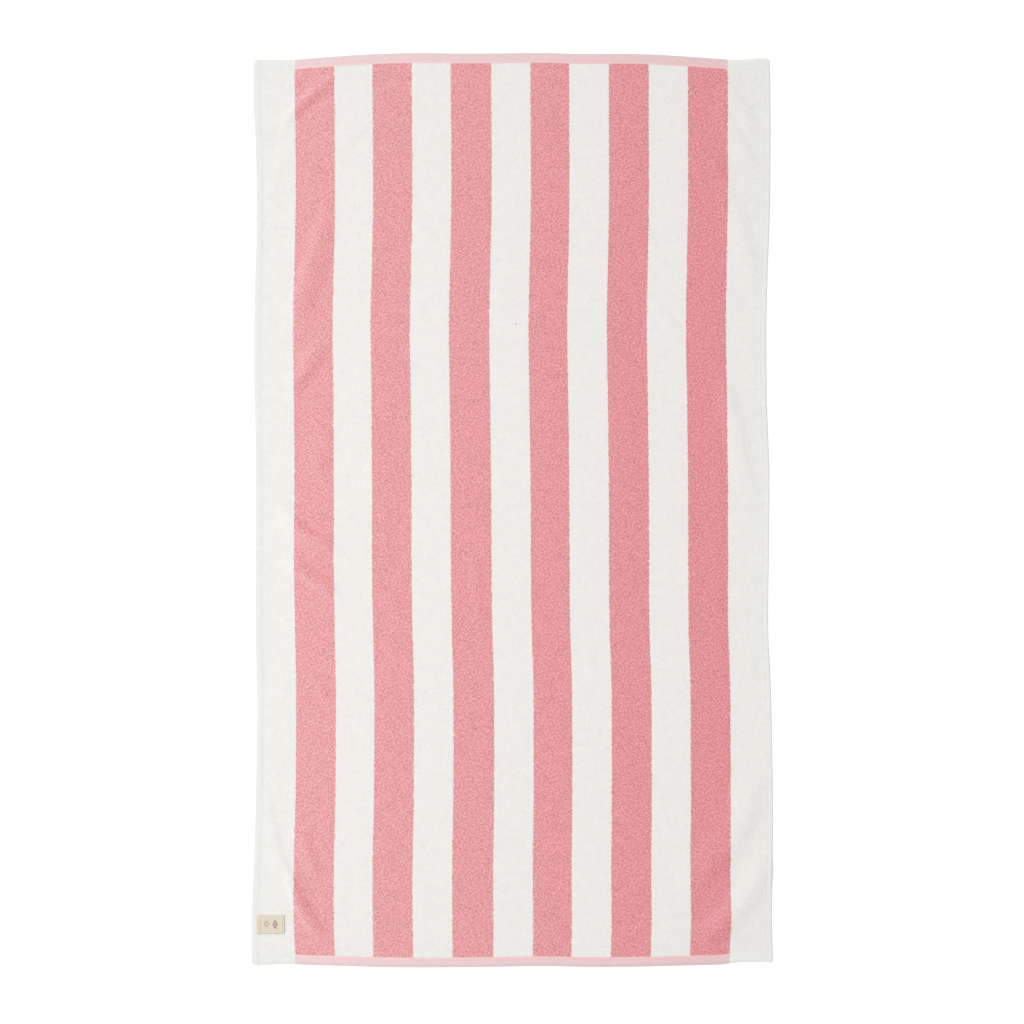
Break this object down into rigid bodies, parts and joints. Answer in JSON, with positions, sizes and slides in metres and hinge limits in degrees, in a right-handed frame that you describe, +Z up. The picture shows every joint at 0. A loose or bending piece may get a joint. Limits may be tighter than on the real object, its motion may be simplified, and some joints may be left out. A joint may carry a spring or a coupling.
{
  "type": "beach towel",
  "caption": "Striped terry beach towel lying flat and face up, with turned hems and a small woven label sewn near one corner.",
  "frame": {"origin": "middle of the towel's outline, on the surface that it rests on", "axes": "+Z up out of the towel's face, +Y along its length to the head end, +X across it; the label is at -X and -Y"},
  "size_m": [0.9143, 1.6027, 0.007],
  "materials": {
    "striped_terry": "looped cotton terry in rose and off-white stripes, matt",
    "woven_tape": "cream woven tape, matt"
  },
  "bodies": {
    "root": {"towel": "striped_terry", "label": "woven_tape"}
  },
  "joints": []
}
